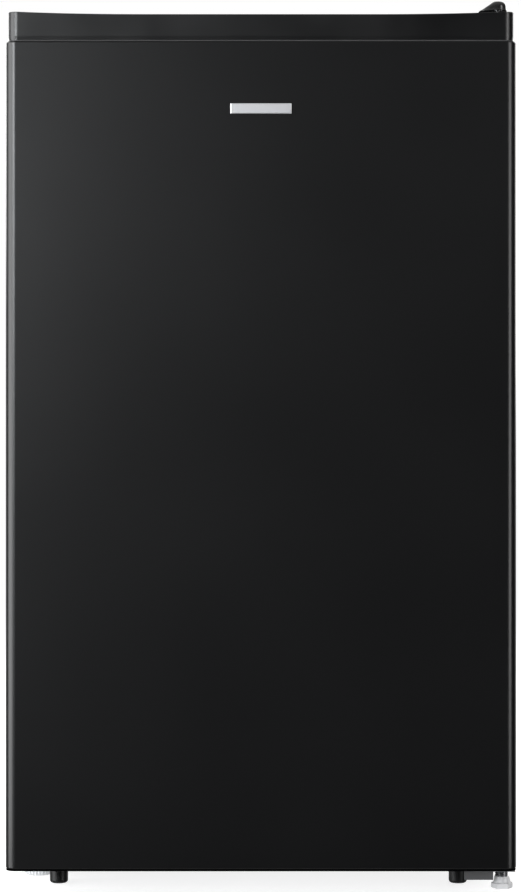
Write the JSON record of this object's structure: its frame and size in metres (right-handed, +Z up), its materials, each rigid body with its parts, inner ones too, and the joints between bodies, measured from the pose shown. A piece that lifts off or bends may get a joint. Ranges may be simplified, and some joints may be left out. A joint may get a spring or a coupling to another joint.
{
  "type": "compact under-counter fridge",
  "caption": "Free-standing compact fridge with a full-height hinged door, foamed cabinet, ice box, shelves, bins, crisper and rear cooling circuit.",
  "frame": {"origin": "on the floor, under the middle of the bounding box", "axes": "+Z up, the door faces -Y, +X towards the hinge side"},
  "size_m": [0.475, 0.448, 0.831],
  "materials": {
    "door_and_cabinet_steel": "satin graphite coat",
    "graphite_plastic": "satin graphite to match the door",
    "black_gloss": "gloss",
    "black_plastic": "matte",
    "white_plastic": "satin",
    "white_liner": "satin",
    "seal": "matte",
    "foam": "matte",
    "zinc_steel": "satin",
    "bright_steel": "polished",
    "black_steel": "satin",
    "aluminium": "satin",
    "copper": "satin copper",
    "shelf_glass": "polished",
    "clear_plastic": "gloss, translucent",
    "rubber_black": "matte",
    "badge_metal": "satin"
  },
  "bodies": {
    "cabinet": {"cabinet_shell": "door_and_cabinet_steel", "top_lid": "black_plastic", "cabinet_liner": "white_liner", "cabinet_foam": "foam", "back_panel": "zinc_steel", "bay_panel": "zinc_steel", "base_plate": "zinc_steel", "compressor_plate": "zinc_steel", "compressor_pad_left": "rubber_black", "compressor_pad_right": "rubber_black", "compressor": "black_steel", "starter_cover": "black_plastic", "condenser_coil": "black_steel", "filter_drier": "copper", "suction_pipe": "copper", "discharge_pipe": "copper", "wall_spacer_left": "black_plastic", "wall_spacer_right": "black_plastic", "evaporation_tray": "black_plastic", "drain_tube": "white_plastic", "ice_box": "aluminium", "ice_box_frame": "white_plastic", "chiller_tray": "clear_plastic", "lower_shelf_glass": "shelf_glass", "upper_shelf_glass": "shelf_glass", "lower_shelf_trim": "white_plastic", "upper_shelf_trim": "white_plastic", "crisper_cover": "shelf_glass", "thermostat_housing": "white_plastic", "front_foot_left": "rubber_black", "front_foot_right": "rubber_black", "rear_foot_left": "rubber_black", "rear_foot_right": "rubber_black", "lower_hinge_bracket": "zinc_steel", "lower_hinge_pin": "bright_steel", "lower_hinge_screw_1": "bright_steel", "lower_hinge_screw_2": "bright_steel", "top_hinge_bracket": "zinc_steel", "top_hinge_pin": "bright_steel", "top_hinge_screw_1": "bright_steel", "top_hinge_screw_2": "bright_steel", "hinge_cover": "black_gloss"},
    "door": {"door_skin": "door_and_cabinet_steel", "door_foam": "foam", "door_top_cap": "graphite_plastic", "door_bottom_cap": "black_plastic", "door_liner": "white_liner", "door_gasket": "seal", "door_badge": "badge_metal", "bottle_bin": "clear_plastic", "middle_bin": "clear_plastic", "upper_bin": "clear_plastic", "bottle_rail": "bright_steel", "top_bush": "white_plastic", "lower_bush": "white_plastic"},
    "ice_box_flap": {"ice_box_flap": "clear_plastic"},
    "crisper_drawer": {"crisper_drawer": "clear_plastic"},
    "thermostat_knob": {"thermostat_knob": "white_plastic"},
    "left_levelling_foot": {"levelling_foot_left": "white_plastic"},
    "right_levelling_foot": {"levelling_foot_right": "bright_steel"}
  },
  "joints": [
    {"name": "door_swing", "type": "hinge", "parent": "cabinet", "child": "door", "pos_m": [0.221, -0.1955, 0.42], "axis": [0, 0, 1], "range_deg": [0, 120]},
    {"name": "flap_swing", "type": "hinge", "parent": "cabinet", "child": "ice_box_flap", "pos_m": [0, -0.0736, 0.758], "axis": [-1, 0, 0], "range_deg": [0, 70]},
    {"name": "crisper_slide", "type": "slide", "parent": "cabinet", "child": "crisper_drawer", "axis": [0, -1, 0], "range_m": [0, 0.042]},
    {"name": "thermostat_turn", "type": "hinge", "parent": "cabinet", "child": "thermostat_knob", "pos_m": [0.1677, -0.017, 0.612], "axis": [-1, 0, 0], "range_deg": [0, 270]},
    {"name": "left_foot_turn", "type": "hinge", "parent": "cabinet", "child": "left_levelling_foot", "pos_m": [-0.2159, -0.0999, 0], "axis": [0, 0, 1], "continuous": true},
    {"name": "right_foot_turn", "type": "hinge", "parent": "cabinet", "child": "right_levelling_foot", "pos_m": [0.2272, -0.1705, 0], "axis": [0, 0, 1], "continuous": true}
  ]
}
